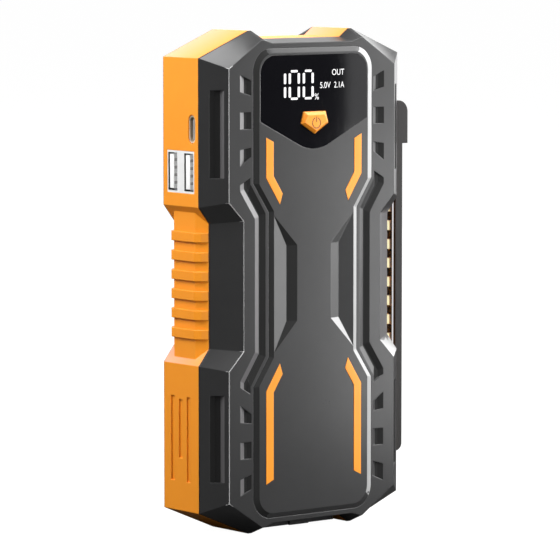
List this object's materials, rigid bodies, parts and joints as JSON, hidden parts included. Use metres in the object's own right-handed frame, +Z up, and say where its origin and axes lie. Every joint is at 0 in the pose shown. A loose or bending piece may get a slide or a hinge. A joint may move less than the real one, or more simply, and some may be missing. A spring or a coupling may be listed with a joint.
{
  "type": "jump starter pack",
  "caption": "Hand-sized vehicle jump starter pack with display, USB ports, covered jump output and a fold-out lamp arm on its side.",
  "frame": {"origin": "on the surface the pack stands on, under the middle of its whole width and the middle of its depth", "axes": "+X to the pack's right seen from its front (the lamp arm's side), +Y to its back, +Z up, display facing -Y"},
  "size_m": [0.0904, 0.035, 0.167],
  "materials": {
    "dark_shell": "fine moulded grain, dark grey",
    "panel_plate": "satin dark grey plate",
    "orange_frame": "satin orange with a fine grain",
    "orange_inlay": "smooth satin orange",
    "window_black": "polished black window",
    "button_plastic": "smooth satin orange",
    "display_plastic": "black display block",
    "switch_plastic": "black moulded switch",
    "stem_plastic": "natural nylon",
    "green_board": "green solder mask",
    "white_board": "white solder mask",
    "coil_ferrite": "pressed ferrite",
    "capacitor_can": "drawn can",
    "chip_black": "black moulding compound",
    "header_plastic": "natural nylon",
    "white_plastic": "satin white",
    "port_steel": "nickel plated sheet",
    "port_contact": "plated spring contact",
    "port_c_steel": "drawn steel shell",
    "port_c_tongue": "grey moulded tongue",
    "cell_pouch": "laminated pouch foil",
    "cell_foam": "thin closed cell foam",
    "pad_foam": "closed cell foam",
    "red_wire": "red insulated lead",
    "black_wire": "black insulated lead",
    "signal_wire": "grey insulated lead",
    "output_blue": "blue moulded housing",
    "output_brass": "turned contact",
    "cover_rubber": "soft dark rubber",
    "arm_plastic": "fine moulded grain, dark grey",
    "lens_clear": "clear acrylic strip",
    "led_yellow": "pale yellow phosphor",
    "pin_steel": "ground steel",
    "screw_steel": "black zinc plate",
    "small_screw_steel": "zinc plate"
  },
  "bodies": {
    "pack": {"front_shell": "dark_shell", "rear_shell": "dark_shell", "mid_frame": "orange_frame", "front_panel": "panel_plate", "display_window": "window_black", "inlay_upper_right": "orange_inlay", "inlay_upper_left": "orange_inlay", "inlay_lower_right": "orange_inlay", "inlay_lower_left": "orange_inlay", "display_module": "display_plastic", "power_switch": "switch_plastic", "main_board": "green_board", "power_board": "green_board", "boost_coil": "coil_ferrite", "capacitors": "capacitor_can", "mosfets": "chip_black", "board_header": "header_plastic", "usb_port_plate": "white_plastic", "usb_a_shell": "port_steel", "usb_a_tongues": "white_plastic", "usb_a_contacts": "port_contact", "usb_c_shell": "port_c_steel", "usb_c_tongue": "port_c_tongue", "cell_1": "cell_pouch", "cell_2": "cell_pouch", "cell_3": "cell_pouch", "cell_4": "cell_pouch", "cell_spacers": "cell_foam", "front_pad": "pad_foam", "rear_pad": "pad_foam", "link_board": "green_board", "negative_lead": "black_wire", "positive_lead": "red_wire", "board_lead": "signal_wire", "output_socket": "output_blue", "negative_contact": "output_brass", "positive_contact": "output_brass", "case_screws": "screw_steel", "main_board_screws": "small_screw_steel", "power_board_screws": "small_screw_steel"},
    "power_button": {"power_button": "button_plastic", "switch_stem": "stem_plastic"},
    "output_cover": {"output_cover": "cover_rubber"},
    "lamp": {"lamp_arm": "arm_plastic", "lamp_lens": "lens_clear", "lamp_board": "white_board", "lamp_leds": "led_yellow", "lamp_pin": "pin_steel"}
  },
  "joints": [
    {"name": "power_button_press", "type": "slide", "parent": "pack", "child": "power_button", "axis": [0, 1, 0], "range_m": [0, 0.0006], "stiffness_N_per_m": 1500},
    {"name": "lamp_hinge", "type": "hinge", "parent": "pack", "child": "lamp", "pos_m": [0.0413, 0, 0.1381], "axis": [0, -1, 0], "range_deg": [0, 120]},
    {"name": "output_cover_swing", "type": "hinge", "parent": "pack", "child": "output_cover", "pos_m": [-0.0028, 0.0079, 0.0018], "axis": [1, 0, 0], "range_deg": [0, 105]}
  ]
}
